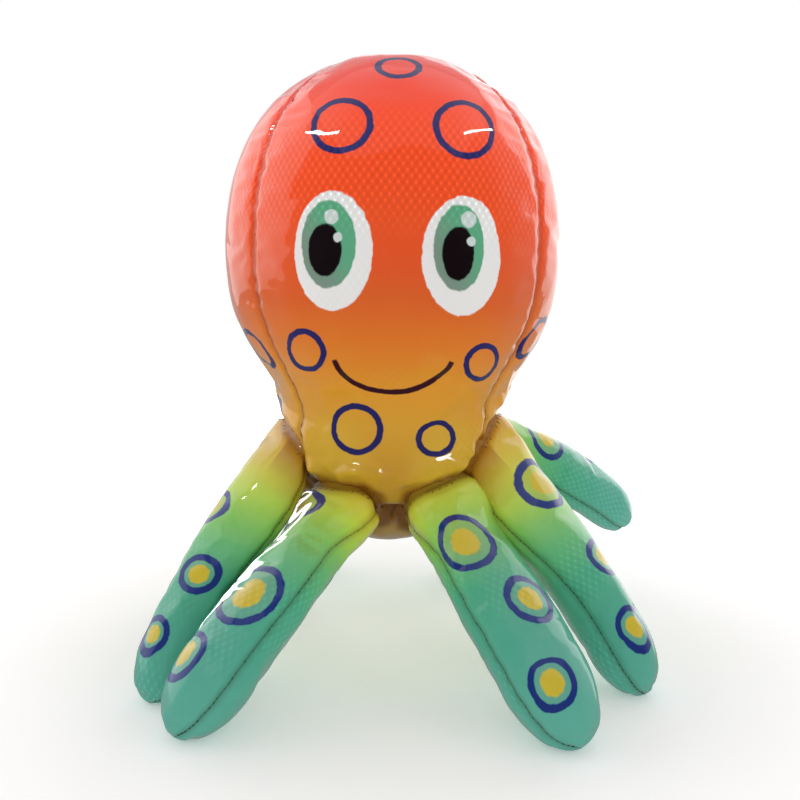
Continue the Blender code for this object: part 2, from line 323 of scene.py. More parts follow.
shape_head()
HEAD_SLACK = 0.01
HEAD_PUFF = 1.2 * MM
HEAD_CRINKLE = 0.14 * MM
seam_columns = [0, GORE_COLUMNS[0], GORE_COLUMNS[0] + GORE_COLUMNS[1]]
sewn = [i for i, (column, ring) in enumerate(head_places)
        if column in seam_columns or ring < 3 or OUTLINE_LENGTH * ring / GORE_RINGS > HEM_ARC]
puff(head, sewn, HEAD_SLACK, HEAD_PUFF)
crinkle(head, HEAD_CRINKLE)

# The print on the head: rings on the three gores, as (gore, across, down, radius) in millimetres from the
# gore's middle, or on the front gore from azimuth 0, and from the crown, and last how far one is stretched.
HEAD_RINGS = (
    (0, 0.5, 28.8, 5.3), (0, -11.8, 47.3, 7.3), (0, 15.6, 47.3, 7.7),
    (0, -20.7, 99.0, 5.9), (0, 22.4, 101.5, 5.5), (0, -8.1, 120.2, 6.6), (0, 11.5, 122.5, 5.3, 0.88),
    (1, -35.5, 95.6, 6.0), (1, -23.0, 68.8, 5.6), (1, -20, 122, 4.8), (1, -2, 48, 7.2), (1, 3, 84, 5.6),
    (1, 20, 66, 6.6), (1, 8, 110, 5.8), (1, 27, 98, 5.2), (1, 14, 30, 5.4),
    (2, 31.0, 100.0, 5.8), (2, 17.5, 69.8, 5.6), (2, 15.5, 120.2, 5.2), (2, 4, 47, 7.4), (2, -4, 86, 5.8),
    (2, -22, 68, 6.4), (2, -10, 111, 5.6), (2, -28, 97, 5.2), (2, -12, 31, 5.4),
)
PANEL_SHIFT = 0.4  # metres between two panels' places on the print
WELD = 0.01 * MM


def lay_print(obj, corner_places, rings, off_seams):
    """The cloth's own coordinates in metres at each face corner, and the way to its nearest printed ring.
    corner_places gives a face's corners as (panel, across, down), off_seams a vertex's way to a seam."""
    obj.data.uv_layers.new(name="cloth")
    obj.data.attributes.new("ring", "FLOAT_VECTOR", "CORNER")
    sewn = obj.data.attributes.new("sewn", "FLOAT", "POINT")
    # The distance that drives the painted crevice shade, far everywhere until it is set.
    tucked = obj.data.attributes.new("tucked", "FLOAT", "POINT")
    for item, far, off_seam in zip(sewn.data, tucked.data, off_seams):
        item.value, far.value = off_seam, 1.0
    cloth, nearest = obj.data.uv_layers["cloth"], obj.data.attributes["ring"]
    for face in obj.data.polygons:
        corners = corner_places(face)
        panel = corners[0][0]
        across = sum(c[1] for c in corners) / len(corners)
        down = sum(c[2] for c in corners) / len(corners)
        own = [(*r, 1.0)[:5] for r in rings if r[0] == panel]
        _, x, y, size, stretch = min(
            own, key=lambda r: math.hypot(across - r[1] * MM, (down - r[2] * MM) / r[4]) - r[3] * MM)
        for index, (_, u, v) in zip(face.loop_indices, corners):
            cloth.data[index].uv = (u + PANEL_SHIFT * panel, v)
            nearest.data[index].vector = (u - x * MM, (v - y * MM) / stretch, size * MM)


def head_corners(face):
    """Each corner of a head face as (gore, across from the gore's middle, down from the crown)."""
    columns = [head_places[i][0] for i in face.vertices]
    arcs = [OUTLINE_LENGTH * head_places[i][1] / GORE_RINGS for i in face.vertices]
    azimuths = [gore_azimuths[c] for c in columns]
    poles = [a < WELD or a > OUTLINE_LENGTH - WELD for a in arcs]
    named = [a for a, pole in zip(azimuths, poles) if not pole]
    if max(named) - min(named) > 180:
        azimuths = [a + 360 if a < HEAD_SEAMS[0] + 180 else a for a in azimuths]
        named = [a for a, pole in zip(azimuths, poles) if not pole]
    gore, middle, _ = gore_at(sum(named) / len(named))
    middle = 0 if gore == 0 else middle
    return [(gore, 0 if pole else math.radians(a - middle) * outline_at(v)[0], v)
            for a, v, pole in zip(azimuths, arcs, poles)]


lay_print(head, head_corners, HEAD_RINGS, head_sewn)


class Value:
    """A shader value that takes part in sums: each operator adds one Math node."""

    def __init__(self, nodes, socket):
        self.nodes, self.socket = nodes, socket

    def math(self, operation, *others, flip=False):
        terms = [self, *others]
        if flip:
            terms.reverse()
        return self.nodes.value("ShaderNodeMath", {"operation": operation}, dict(enumerate(terms)))

    def __add__(self, other):
        return self.math("ADD", other)

    def __sub__(self, other):
        return self.math("SUBTRACT", other)

    def __rsub__(self, other):
        return self.math("SUBTRACT", other, flip=True)

    def __mul__(self, other):
        return self.math("MULTIPLY", other)

    def __truediv__(self, other):
        return self.math("DIVIDE", other)

    __radd__, __rmul__ = __add__, __mul__


class Nodes:
    """The nodes of a material or of the studio, in the making."""

    def __init__(self, tree):
        self.tree = tree

    def node(self, kind, settings, inputs):
        """A node of this kind, its settings made first and then its sockets."""
        made = self.tree.nodes.new(kind)
        for key, setting in settings.items():
            if key == "stops":
                stops = made.color_ramp.elements
                stops.remove(stops[1])
                stops[0].position, stops[0].color = setting[0][0], (*setting[0][1], 1)
                for place, colour in setting[1:]:
                    stops.new(place).color = (*colour, 1)
            else:
                setattr(made, key, setting)
        for key, given in inputs.items():
            self.join(made.inputs[key], given)
        return made

    def join(self, socket, given):
        if isinstance(given, Value):
            self.tree.links.new(given.socket, socket)
        elif hasattr(given, "is_output"):
            self.tree.links.new(given, socket)
        else:
            coloured = isinstance(given, tuple) and socket.type == "RGBA"
            socket.default_value = (*given, 1) if coloured else given

    def value(self, kind, settings, inputs, output=0):
        return Value(self, self.node(kind, settings, inputs).outputs[output])

    def parts(self, vector):
        return [Value(self, part) for part in self.node("ShaderNodeSeparateXYZ", {}, {0: vector}).outputs]

    def below(self, value, edge, soft):
        """1 where the value is under the edge, 0 over it, smooth over a band this wide."""
        return self.value("ShaderNodeMapRange", {"interpolation_type": "SMOOTHSTEP"}, {
            "Value": value, "To Min": 1, "To Max": 0,
            "From Min": edge - soft / 2, "From Max": edge + soft / 2})

    def mix(self, mask, under, top, blend="MIX"):
        settings = {"data_type": "RGBA", "blend_type": blend}
        return self.node("ShaderNodeMix", settings, {0: mask, 6: under, 7: top}).outputs[2]

    def ramp(self, value, stops):
        return self.node("ShaderNodeValToRGB", {"stops": stops}, {"Fac": value}).outputs["Color"]

    def speckle(self, vector, scale, detail):
        return self.value("ShaderNodeTexNoise", {"noise_dimensions": "3D"},
                          {"Vector": vector, "Scale": scale, "Detail": detail, "Roughness": 0.55})


class Finish(Nodes):
    """A material in the making, with what is the same all over it."""

    def __init__(self, name, sockets):
        self.made = bpy.data.materials.new(name)
        self.made.use_nodes = True
        super().__init__(self.made.node_tree)
        self.shader = self.tree.nodes["Principled BSDF"]
        for socket, given in sockets.items():
            self.join(self.shader.inputs[socket], given)


def paint(*tone):
    """A colour named by red, green and blue from 0 to 255, as Blender counts light."""
    return tuple(((c / 255 + 0.055) / 1.055) ** 2.4 if c > 10 else c / 255 / 12.92 for c in tone)


# The cloth is a coarse weave whose raised dots stand in offset rows, printed and then laminated under a
# clear glossy film.
DOT_PITCH = 1.8 * MM
ROW_PITCH = 1.35 * MM
RING_STROKE = 1.55 * MM
RING_EDGE = 0.3 * MM  # how soft its edge is
NAVY = paint(30, 28, 98)
# What the cloth's colour is multiplied by: a painted highlight on a weave dot, painted shade in a pit,
# stain and painted shade along a seam or fold, painted shade in the crevices by the arms' roots, and the
# needle's line, which along the belly's folds is painted shade.
DOT_HIGHLIGHT = (1.3, 1.5, 1.55)
PIT_SHADE = (0.7, 0.6, 0.6)
SEAM_SHADE = (0.6, 0.5, 0.42)
CREVICE_SHADE = (0.56, 0.36, 0.26)
NEEDLE_AND_FOLD_SHADE = (0.5, 0.42, 0.4)


class PrintedCloth(Finish):
    """Printed weave under film. Its colour runs down the panel by the stops, as millimetres and colours."""

    def __init__(self, name, stops, reach, weave_depth):
        super().__init__(name, {
            "Roughness": 0.5, "Specular IOR Level": 0.2, "Coat Weight": 1.0, "Coat Roughness": 0.035})
        self.cloth = self.node("ShaderNodeUVMap", {"uv_map": "cloth"}, {}).outputs["UV"]
        self.across, self.down, _ = self.parts(self.cloth)
        rows = (self.down * (math.pi / ROW_PITCH)).math("COSINE")
        self.dots = (self.across * (2 * math.pi / DOT_PITCH)).math("COSINE") * rows
        blotch = self.speckle(self.cloth, 55, 2)
        shifted = self.down + (blotch - 0.5) * (6 * MM)
        first = stops[0][0]
        self.colour = self.ramp((shifted - first * MM) / ((reach - first) * MM),
                                [((place - first) / (reach - first), paint(*tone)) for place, tone in stops])
        self.wobble = (self.speckle(self.cloth, 420, 1) - 0.5) * (0.5 * MM)
        self.wobble += (self.speckle(self.cloth, 900, 2) - 0.5) * (0.35 * MM)
        near = self.node("ShaderNodeAttribute", {"attribute_name": "ring"}, {}).outputs["Vector"]
        across, down, self.ring_radius = self.parts(near)
        self.from_ring = (across * across + down * down).math("SQRT") + self.wobble
        # The distance to a seam, and the distance that drives the painted crevice shade.
        self.sewn, self.tucked = (self.value("ShaderNodeAttribute", {"attribute_name": kept}, {}, output=2)
                                  for kept in ("sewn", "tucked"))
        self.weave_depth = weave_depth

    def lay(self, mask, colour):
        self.colour = self.mix(mask, self.colour, colour)

    def ring(self):
        past_inner = self.below(self.ring_radius - RING_STROKE - self.from_ring, 0, RING_EDGE)
        return past_inner * self.below(self.from_ring - self.ring_radius, 0, RING_EDGE)

    def ellipse(self, across, down, width, height):
        """1 inside an ellipse printed at this place, in millimetres."""
        x = (self.across - across * MM) / (width / 2 * MM)
        y = (self.down - down * MM) / (height / 2 * MM)
        span = (x * x + y * y).math("SQRT") + self.wobble / (width / 2 * MM)
        return self.below(span, 1, 0.36 / (width / 2))

    def finish(self, show=None, fade=1.0):
        """The weave, which shows in patches and where it is asked to, with a painted highlight on its dots
        and painted shade in its pits; stain and painted shade along seams and folds; painted shade by the
        arms' roots; and the needle's line.
        """
        strength = self.value("ShaderNodeMapRange", {}, {
            "Value": self.speckle(self.cloth, 45, 1),
            "From Min": 0.52, "From Max": 0.66, "To Min": 0.03, "To Max": 0.5})
        if show is not None:
            strength = (strength * 0.25 + show).math("MINIMUM", 1)
        strength = strength * fade
        # Painted highlight on the weave's raised dots, and painted shade in the pits between them.
        lit = (1 - self.below(self.dots, 0.62, 0.5)) * strength
        pit = self.below(self.dots, -0.5, 0.7) * strength
        # Stain and painted shade in a band along the seams, the roots' ties and the belly's folds.
        seam_stain_and_shade = self.below(self.sewn + self.wobble, 0.9 * MM, 1.8 * MM)
        # Painted shade in the crevices where the arms meet the body.
        shaded = self.below(self.tucked, 4 * MM, 9 * MM)
        # The needle's dark line along the seams and the roots' ties; along the belly's folds the same line
        # is painted shade.
        needle_line_and_fold_shade = self.below(self.sewn, 0.25 * MM, 0.4 * MM)
        for mask, tint in ((lit * 0.9, DOT_HIGHLIGHT), (pit * 0.35, PIT_SHADE), (seam_stain_and_shade * 0.5, SEAM_SHADE),
                           (shaded * 0.9, CREVICE_SHADE), (needle_line_and_fold_shade * 0.6, NEEDLE_AND_FOLD_SHADE)):
            self.colour = self.mix(mask, self.colour, tint, "MULTIPLY")
        height = (self.dots * 0.5 + 0.5) * strength
        bump = self.node("ShaderNodeBump", {}, {
            "Strength": 0.5, "Distance": self.weave_depth, "Height": height})
        self.join(self.shader.inputs["Base Color"], self.colour)
        self.join(self.shader.inputs["Normal"], bump.outputs["Normal"])
        return self.made


head_cloth = PrintedCloth("head_print_cloth", (
    (0, (250, 66, 66)), (30, (252, 68, 50)), (46, (252, 76, 32)), (62, (238, 76, 26)), (78, (222, 80, 24)),
    (86, (214, 90, 24)), (96, (218, 116, 30)), (108, (222, 146, 40)), (120, (216, 158, 44)),
    (132, (200, 150, 36)), (139, (176, 138, 40)), (143, (184, 144, 66)), (150, (178, 142, 82)),
    (169, (150, 120, 76))), 169, 0.22 * MM)
for side in (-1, 1):  # the print is yellower where the body comes down to each front arm
    aside = (head_cloth.across - side * 15 * MM) / (11 * MM)
    lower = (head_cloth.down - 130 * MM) / (13 * MM)
    head_cloth.lay(head_cloth.below(aside * aside + lower * lower, 0.7, 1.4) * 0.65, paint(214, 174, 50))
head_cloth.lay(head_cloth.ring(), NAVY)

# The face is printed too: two tall eyes with a green iris and two pale glints each, and a smile.
EYES = (
    # across, down, width, height of the white, iris, pupil and the two glints
    ((-13.3, 75.7, 18.1, 25.9), (-14.1, 74.2, 12.6, 18.9), (-14.8, 75.4, 7.8, 11.4),
     (-13.3, 68.3, 3.3, 3.1), (-11.8, 72.7, 2.0, 2.1)),
    ((15.5, 76.3, 18.9, 26.0), (14.4, 74.5, 11.8, 18.7), (14.1, 75.7, 7.4, 11.7),
     (16.3, 68.3, 3.6, 3.5), (17.0, 73.0, 2.1, 2.1)),
)
EYE_WHITE = paint(226, 224, 222)
IRIS = paint(88, 162, 124)
IRIS_SHADE = paint(116, 140, 124)
PUPIL = paint(16, 4, 10)
GLINT = paint(196, 206, 202)
SMILE_CENTRE = (0.45, 96.0)
SMILE_RADIUS = 14.4
SMILE_STROKE = 1.3
SMILE_HALF = math.radians(69.7)
SMILE_INK = paint(58, 8, 26)
for white, iris, pupil, *glints in EYES:
    head_cloth.lay(head_cloth.ellipse(*white), EYE_WHITE)
    slant = (head_cloth.across - iris[0] * MM) * 0.85 - (head_cloth.down - iris[1] * MM) * 0.5
    shade = head_cloth.below(slant, -1 * MM, 9 * MM)
    head_cloth.lay(head_cloth.ellipse(*iris), head_cloth.mix(shade, IRIS, IRIS_SHADE))
    head_cloth.lay(head_cloth.ellipse(*pupil), PUPIL)
    for glint in glints:
        head_cloth.lay(head_cloth.ellipse(*glint), GLINT)
smile_x = head_cloth.across - SMILE_CENTRE[0] * MM
smile_y = head_cloth.down - SMILE_CENTRE[1] * MM
smile_span = (smile_x * smile_x + smile_y * smile_y).math("SQRT") + head_cloth.wobble * 0.6
off_line = (smile_span - SMILE_RADIUS * MM).math("ABSOLUTE")
along_smile = smile_x.math("ARCTAN2", smile_y).math("ABSOLUTE")
smile = head_cloth.below(off_line, SMILE_STROKE / 2 * MM, 0.3 * MM)
head_cloth.lay(smile * head_cloth.below(along_smile, SMILE_HALF, 0.03), SMILE_INK)


def dress(obj, material):
    obj.data.materials.clear()
    obj.data.materials.append(material)
    obj.data.shade_smooth()


def subdivide(obj):
    finer = obj.modifiers.new("finer", "SUBSURF")
    finer.levels = finer.render_levels = 1


# The weave's dots, with their painted highlights and painted shade, show best across the forehead.
forehead = 1 - head_cloth.below(head_cloth.down, 46 * MM, 12 * MM)
forehead *= head_cloth.below(head_cloth.down, 68 * MM, 16 * MM)
dress(head, head_cloth.finish(forehead * 0.95))
subdivide(head)
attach(head, "body")
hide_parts("head_front_panel", "head_right_panel", "head_left_panel", "belly_panel", "body_filling")


# Arms. Each is a tube of two printed panels, sewn along both sides and round the tip, packed with
# fibre and sewn to the body round its root.
ARM_LENGTH = 67 * MM
ARM_ROOT = (18.5 * MM, 15.5 * MM)  # width and height
ARM_SWELL = (21 * MM, 18 * MM)
ARM_END = 16 * MM
SWELL_SHARE = 0.6
SEAT = 0.7 * MM  # from the body's outline to the arm's root
RAISED_TIP = 23 * MM
FOOT_FLAT = 0.5 * MM
ARM_COLUMNS = 48
ARM_RINGS = 72
ROOT_RINGS = 4
END_RINGS = 18
ROOT_DEPTH = 3.5 * MM  # how far the cover runs on inside the body
ARM_SEAM_DEPTH = 0.75 * MM
ARMS = {
    # root and heading in degrees round the body, fold's share of the belly's depth, arch and roll in
    # degrees, shares of a front arm's length and girth, whether it stands on the floor
    "front_left": (-32, -39, 0.45, 14, 24, 0.99, 0.98, True),
    "front_right": (35.5, 33, 0.41, 14, -6, 0.99, 1.0, True),
    "side_left": (-76, -37, 0.0, 20, 0, 1.13, 0.74, True),
    "side_right": (75, 53, 0.0, 16, -14, 1.12, 0.88, True),
    "rear_side_left": (-116, -107, 0.10, 18, 0, 1.01, 0.77, True),
    "rear_side_right": (112, 118, 0.0, 26, 42, 0.99, 0.78, False),
    "rear_left": (-156, -150, 0.28, 18, 0, 1.01, 0.77, True),
    "rear_right": (155, 149, 0.28, 18, 0, 1.01, 0.77, True),
}
# How each cover is made, in millimetres: how much wider than its solid the root is on the left seam's side,
# on the other and on top; the root's twist in degrees, left side up, and its reach; how much fuller each
# side is packed, and about what share of the length; how much later the print turns from yellow to green.
COVERS = {
    "front_left": (3.0, 1.0, 0.4, 24, 18, 1.2, 3.0, 0.4, -3),
    "front_right": (0.6, 2.6, 1.0, -28, 18, 1.1, 0.4, 0.4, -5),
    "side_left": (0.2, 2.4, -1.6, -6, 18, -0.3, 7.0, 0.28, 11),
    "side_right": (3.6, 0.8, 1.0, -30, 55, 6.4, 0.8, 0.32, 9),
    "rear_side_left": (1.2, 1.2, 0.8, 0, 18, 0, 0, 0.4, 0),
    "rear_side_right": (1.2, 1.2, 0.8, 0, 18, 2.0, 0.4, 0.5, -7),
    "rear_left": (1.2, 1.2, 0.6, 0, 18, 0, 0, 0.4, 0),
    "rear_right": (1.2, 1.2, 0.6, 0, 18, 0, 0, 0.4, 0),
}
FULLER_REACH = 0.26
ROOT_REACH = 18 * MM
ROOT_SQUARE = 1.3  # how much squarer than an ellipse the root's section is
ROOT_PINCH = 0.1  # how much of its girth the root loses where its stitches draw it in
PINCH_REACH = 1.8 * MM
HIDDEN_GIRTH = 0.8  # share of its girth that the root keeps inside the body
TIE_LINE = 0.3 * MM  # how far outside the body's cover the root is sewn on
SHADED_SIDE = {"side_left": -1, "side_right": 1}  # which seam of an arm lies close along the body, where it is painted darker as shade
ARM_SLACK = 0.012
ARM_PUFF = 0.5 * MM
ARM_CRINKLE = 0.12 * MM
FLOOR_GAP = 0.02 * MM
BEND_REACH = 12 * MM  # from the root, to a point on the spine that is worked out and not used
TIP_DIMPLE = 1.1 * MM  # how much deeper the side seams sink round the tip
TIP_DIMPLE_WIDTH = 1.6 * MM
TIP_REACH = 2.5 * MM
TIP_STRETCH = 1.15  # how much longer the cloth round the tip is than its outline
# The printed rings of each arm: panel 0 above and 1 below, across from the panel's middle towards its
# left seam, along from the root, and radius, in millimetres, and how far the cloth is stretched lengthways.
ARM_RINGS_PRINTED = {
    "front_left": ((0, 2, 7.6, 6.4), (0, -5.4, 35.2, 7.2, 1.1), (0, -0.6, 51.2, 5.5, 0.9),
                   (1, 2, 22, 5.8), (1, -3, 44, 5.6)),
    "front_right": ((0, 6.2, 17.3, 6.8, 1.15), (0, 0.6, 35.6, 5.7, 1.1), (0, 6.0, 52.8, 5.4, 0.76),
                    (1, -2, 26, 5.8), (1, 2, 46, 5.4)),
    "side_left": ((0, 4, 28.5, 5), (0, -2.7, 45.5, 4.8), (0, 1, 61.3, 4.5),
                  (1, 2, 24, 4.8), (1, -2, 46, 4.6)),
    "side_right": ((0, 2.5, 19.8, 5.7, 1.28), (0, 0.3, 42.4, 5.1), (0, 4.6, 59.4, 5.1),
                   (1, -2, 30, 4.8), (1, 1, 50, 4.6)),
    "rear_side_left": ((0, 3, 14, 4.6), (0, -3, 32, 4.8), (0, 2, 50, 4.4), (1, 0, 24, 4.6), (1, 1, 44, 4.4)),
    "rear_side_right": ((0, -1.4, 20.4, 6.6), (0, -6, 38, 4.6), (0, -9, 52, 4.2),
                        (1, 1, 26, 4.6), (1, -2, 44, 4.4)),
    "rear_left": ((0, -3, 15, 4.6), (0, 3, 33, 4.8), (0, -1, 51, 4.4), (1, 0, 24, 4.6), (1, 1, 44, 4.4)),
    "rear_right": ((0, 3, 16, 4.6), (0, -3, 34, 4.8), (0, 2, 51, 4.4), (1, 0, 24, 4.6), (1, -1, 44, 4.4)),
}


def low_radius(height):
    """The outline's radius at a height below its widest part."""
    return float(np.interp(-height, -outline[1000:, 1], outline[1000:, 0]))


class Tube:
    """An arm's surface. Its spine bends in one upright plane from the fold on top of its root."""

    def __init__(self, root, heading, fold_share, arch, roll, length_share, girth_share, stands):
        self.girth, self.arch, self.roll = girth_share, math.radians(arch), math.radians(roll)
        self.length = ARM_LENGTH * length_share
        self.end = ARM_END * girth_share
        self.ahead = direction(heading)
        self.aside = self.ahead.cross(UP)
        height = NECK_Z - BELLY_DEPTH * fold_share
        self.fold = direction(root) * (low_radius(height) + SEAT) + UP * height
        goal = -FOOT_FLAT if stands else RAISED_TIP
        # The pitch that brings the lowest of these points to its height is halved in on.
        steep, flat = math.radians(90), 0.0
        for _ in range(30):
            self.pitch = (steep + flat) / 2
            turns = [math.pi * i / 6 for i in range(12)]
            stations = [(self.length - self.end) * i / 6 for i in range(6)]
            stations += [self.length - self.end + self.end * math.sin(math.pi / 8 * i) for i in range(5)]
            lowest = min(self.point(s, turn).z for s in stations for turn in turns)
            if lowest > goal:
                flat = self.pitch
            else:
                steep = self.pitch

    def above(self, pitch):
        return self.ahead * math.sin(pitch) + UP * math.cos(pitch)

    def size(self, s):
        """Half width and half height of the section at a distance along the spine."""
        swell = smooth_step(s / (self.length * SWELL_SHARE))
        past = min(max((s - self.length + self.end) / self.end, 0), 1)
        scale = self.girth * math.sqrt(1 - past**2) / 2
        return [scale * (root + (full - root) * swell) for root, full in zip(ARM_ROOT, ARM_SWELL)]

    def spine(self, s):
        """Centre of the section and the directions to its left seam and its crest."""
        bend = self.arch / self.length
        here = self.pitch + bend * s
        centre = self.fold - self.above(self.pitch) * (ARM_ROOT[1] * self.girth / 2)
        centre += self.ahead * ((math.sin(here) - math.sin(self.pitch)) / bend)
        centre += UP * ((math.cos(here) - math.cos(self.pitch)) / bend)
        side = self.aside * math.cos(self.roll) - self.above(here) * math.sin(self.roll)
        crest = self.above(here) * math.cos(self.roll) + self.aside * math.sin(self.roll)
        return centre, side, crest

    def point(self, s, turn):
        """A surface point at distance s, at an angle round the section from its left seam."""
        centre, side, crest = self.spine(s)
        half_width, half_height = self.size(s)
        return centre + side * (half_width * math.cos(turn)) + crest * (half_height * math.sin(turn))


def arm_station(tube, ring):
    """(distance along the spine, share of the section) of a ring, from the hidden root to the tip."""
    if ring <= ROOT_RINGS:
        return -ROOT_DEPTH, ring / ROOT_RINGS
    trunk_rings = ARM_RINGS - ROOT_RINGS - END_RINGS
    trunk = tube.length - tube.end
    if ring <= ROOT_RINGS + trunk_rings:
        return -ROOT_DEPTH + (trunk + ROOT_DEPTH) * (ring - ROOT_RINGS) / trunk_rings, 1.0
    turn = math.pi / 2 * (ring - ROOT_RINGS - trunk_rings) / END_RINGS
    return trunk + tube.end * math.sin(turn), 1.0


arm_cloth = PrintedCloth("arm_print_cloth", (
    (-8, (228, 178, 52)), (0, (228, 200, 62)), (5, (220, 220, 72)), (11, (194, 226, 82)),
    (18, (146, 212, 100)), (26, (108, 196, 128)), (34, (86, 182, 144)), (48, (88, 180, 154)),
    (72, (106, 190, 172))), 72, 0.2 * MM)
inside_ring = arm_cloth.below(arm_cloth.from_ring - arm_cloth.ring_radius, -RING_STROKE, 0.5 * MM)
ring_tones = [(0.1, paint(172, 186, 60)), (0.6, paint(112, 172, 150))]
ring_tone = arm_cloth.ramp(arm_cloth.down / (60 * MM), ring_tones)
arm_cloth.lay(inside_ring * 0.45, ring_tone)
dot_edge = arm_cloth.from_ring / arm_cloth.ring_radius - arm_cloth.dots * 0.018
arm_cloth.lay(arm_cloth.below(dot_edge, 0.47, 0.1) * 0.95, paint(224, 196, 44))
arm_cloth.lay(arm_cloth.ring(), paint(24, 50, 130))
arm_finish = arm_cloth.finish(fade=1 - arm_cloth.below(arm_cloth.down, 22 * MM, 22 * MM))


def root_twist(name, s):
    """How far an arm's section is twisted at a distance from its root."""
    twist, reach = COVERS[name][3:5]
    return math.radians(twist) * (1 - smooth_step(s / (reach * MM)))


def squared(part, power):
    """A sine or cosine drawn out towards a square's."""
    return math.copysign(abs(part) ** power, part)


def seat_radius(height):
    """The radius of the body's cover, below its widest part."""
    return HEAD_RADIUS if height > WIDEST_Z else low_radius(height) + GORE_STANDOFF


tubes, arm_places = {}, {}
for order, (name, facts) in enumerate(ARMS.items()):
    tube = tubes[name] = Tube(*facts)
    arm, places = ball(f"arm_{name}_cover", ARM_COLUMNS, ARM_RINGS)
    arm_places[name] = places
    # The sphere's ring 0 is the hidden root, and its columns run from the left seam over the crest.
    stations = [arm_station(tube, ring) for ring in range(ARM_RINGS + 1)]
    arm_sewn, arm_shade_gap = [], []
    left, other, top, _, _, *full_sides, fullest, print_lag = COVERS[name]
    for vertex, (column, ring) in zip(arm.data.vertices, places):
        s, share = stations[ring]
        turn = 2 * math.pi * column / ARM_COLUMNS
        half_width, half_height = tube.size(s)
        reach = (half_width + half_height) / 2
        apart = min(abs(turn), abs(turn - math.pi), abs(turn - 2 * math.pi)) * reach
        shrink = min(1, reach / (3 * MM)) * share
        depth = ARM_SEAM_DEPTH / SEAM_DEPTH * shrink
        pull = seam_pull(apart, s, order) * depth
        near_tip = smooth_step((s - tube.length + TIP_REACH) / TIP_REACH)
        pull += TIP_DIMPLE * near_tip * math.exp(-((apart / TIP_DIMPLE_WIDTH) ** 2)) * share
        at_root = 1 - smooth_step(s / ROOT_REACH)
        power = 2 / (2 + ROOT_SQUARE * at_root) if math.sin(turn) > 0 else 1
        across = squared(math.cos(turn), power) * max(half_width - pull, 0) * share
        crestward = squared(math.sin(turn), power) * max(half_height - pull, 0) * share
        fuller = full_sides[0 if across > 0 else 1]
        fuller *= math.exp(-(((s / tube.length - fullest) / FULLER_REACH) ** 2))
        across += ((left if across > 0 else other) * at_root + fuller) * math.cos(turn) * share * MM
        crestward += max(math.sin(turn), 0) * top * at_root * share * MM
        leaned = root_twist(name, s)
        centre, side, crest = tube.spine(s)
        offset = side * (across * math.cos(leaned) - crestward * math.sin(leaned))
        offset += crest * (across * math.sin(leaned) + crestward * math.cos(leaned))
        point = centre + offset
        off_body = Vector((point.x, point.y, 0)).length - seat_radius(point.z)
        pinch = 1 - ROOT_PINCH * math.exp(-((off_body / PINCH_REACH) ** 2))
        pinch = pinch if ring > ROOT_RINGS else HIDDEN_GIRTH
        vertex.co = centre + offset * pinch + HEAD_AXIS
        arm_sewn.append(min(apart, abs(off_body - TIE_LINE)))
        # Painted shade: an arm is painted darker close to the body, a side arm most on the side that lies
        # along it.
        bodyward = math.cos(turn) * SHADED_SIDE.get(name, 0)
        arm_shade_gap.append(off_body * (0.8 - 0.35 * bodyward if bodyward > 0.35 else 3.5))
    shell = bmesh.new()
    shell.from_mesh(arm.data)
    bmesh.ops.recalc_face_normals(shell, faces=shell.faces)
    shell.to_mesh(arm.data)
    shell.free()
    seam_rows = [i for i, (column, ring) in enumerate(places)
                 if column in (0, ARM_COLUMNS // 2) or stations[ring][0] < 2 * MM or ring > ARM_RINGS - 3]
    puff(arm, seam_rows, ARM_SLACK, ARM_PUFF)
    crinkle(arm, ARM_CRINKLE)
    if facts[-1]:  # it stands on the floor
        for vertex in arm.data.vertices:
            vertex.co.z = max(vertex.co.z, FLOOR_GAP)
    arm.data.update()

    def arm_corners(face):
        """Each corner of an arm face as (panel, across from the panel's middle, along from the root)."""
        columns = [places[i][0] for i in face.vertices]
        rings = [places[i][1] for i in face.vertices]
        poles = [ring in (0, ARM_RINGS) for ring in rings]
        named = [c for c, pole in zip(columns, poles) if not pole]
        if max(named) - min(named) > 2:
            columns = [c + ARM_COLUMNS if c == 0 else c for c in columns]
            named = [c for c, pole in zip(columns, poles) if not pole]
        panel = 0 if sum(named) / len(named) < ARM_COLUMNS / 2 else 1
        middle = ARM_COLUMNS / 4 if panel == 0 else ARM_COLUMNS * 3 / 4
        made = []
        for column, ring, pole in zip(columns, rings, poles):
            along = s = stations[ring][0]
            trunk = tube.length - tube.end
            if s > trunk:
                turn = math.asin(min((s - tube.length + tube.end) / tube.end, 1))
                along = trunk + sum(tube.size(trunk)) / 2 * turn * TIP_STRETCH
            reach = sum(tube.size(s)) / 2
            round_arm = (middle - column) / ARM_COLUMNS * 2 * math.pi - root_twist(name, s)
            across = 0 if pole else round_arm * reach
            made.append((panel, across, along))
        return made

    lay_print(arm, arm_corners, ARM_RINGS_PRINTED[name], arm_sewn)
    # The distance that drives the painted crevice shade on this arm.
    for item, far in zip(arm.data.attributes["tucked"].data, arm_shade_gap):
        item.value = far
    for item in arm.data.uv_layers["cloth"].data:
        item.uv.x += 0.13 * (order + 1)
        item.uv.y -= print_lag * MM
    dress(arm, arm_finish)
    subdivide(arm)
    root = tube.spine(0)[0] + HEAD_AXIS
    along = tube.spine(BEND_REACH)[0] - tube.spine(0)[0]
    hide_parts(f"arm_{name}_upper", f"arm_{name}_under", f"arm_{name}_filling")
    tuple(root + along)
    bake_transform(arm)
